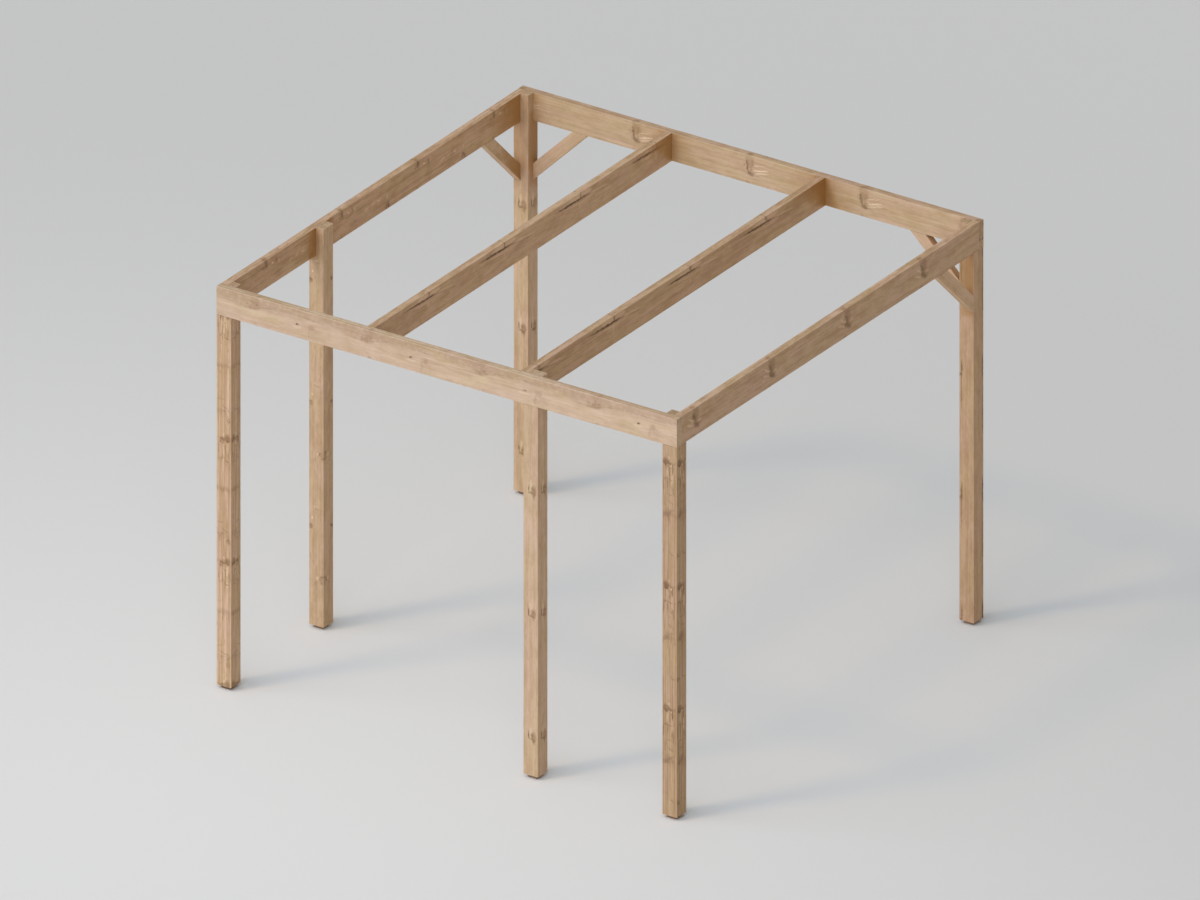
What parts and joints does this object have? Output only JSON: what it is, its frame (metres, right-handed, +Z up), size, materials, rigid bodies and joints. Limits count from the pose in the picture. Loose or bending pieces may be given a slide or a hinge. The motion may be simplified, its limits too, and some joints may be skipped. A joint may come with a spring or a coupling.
{
  "type": "timber pergola",
  "caption": "Free-standing open pergola frame of planed timber, with notched square posts, flush beams, rafters and mitred braces at the back corners.",
  "frame": {"origin": "on the ground, under the middle of the square plan", "axes": "+X right along the front, +Y from the front to the back, +Z up"},
  "size_m": [3, 3, 2.42],
  "materials": {
    "post_timber": "planed softwood with brown knots, untreated",
    "beam_timber": "planed softwood with brown knots, untreated",
    "brace_timber": "planed softwood, untreated",
    "foot_pad": "dark hardwood pad, dull"
  },
  "bodies": {
    "root": {"post_front_left": "post_timber", "post_front_middle": "post_timber", "post_front_right": "post_timber", "post_left_middle": "post_timber", "post_back_left": "post_timber", "post_back_right": "post_timber", "foot_front_left": "foot_pad", "foot_front_middle": "foot_pad", "foot_front_right": "foot_pad", "foot_left_middle": "foot_pad", "foot_back_left": "foot_pad", "foot_back_right": "foot_pad", "beam_front": "beam_timber", "beam_back": "beam_timber", "beam_left": "beam_timber", "beam_right": "beam_timber", "rafter_left": "beam_timber", "rafter_right": "beam_timber", "brace_left_side": "brace_timber", "brace_back_left": "brace_timber", "brace_back_right": "brace_timber", "brace_right_side": "brace_timber"}
  },
  "joints": []
}
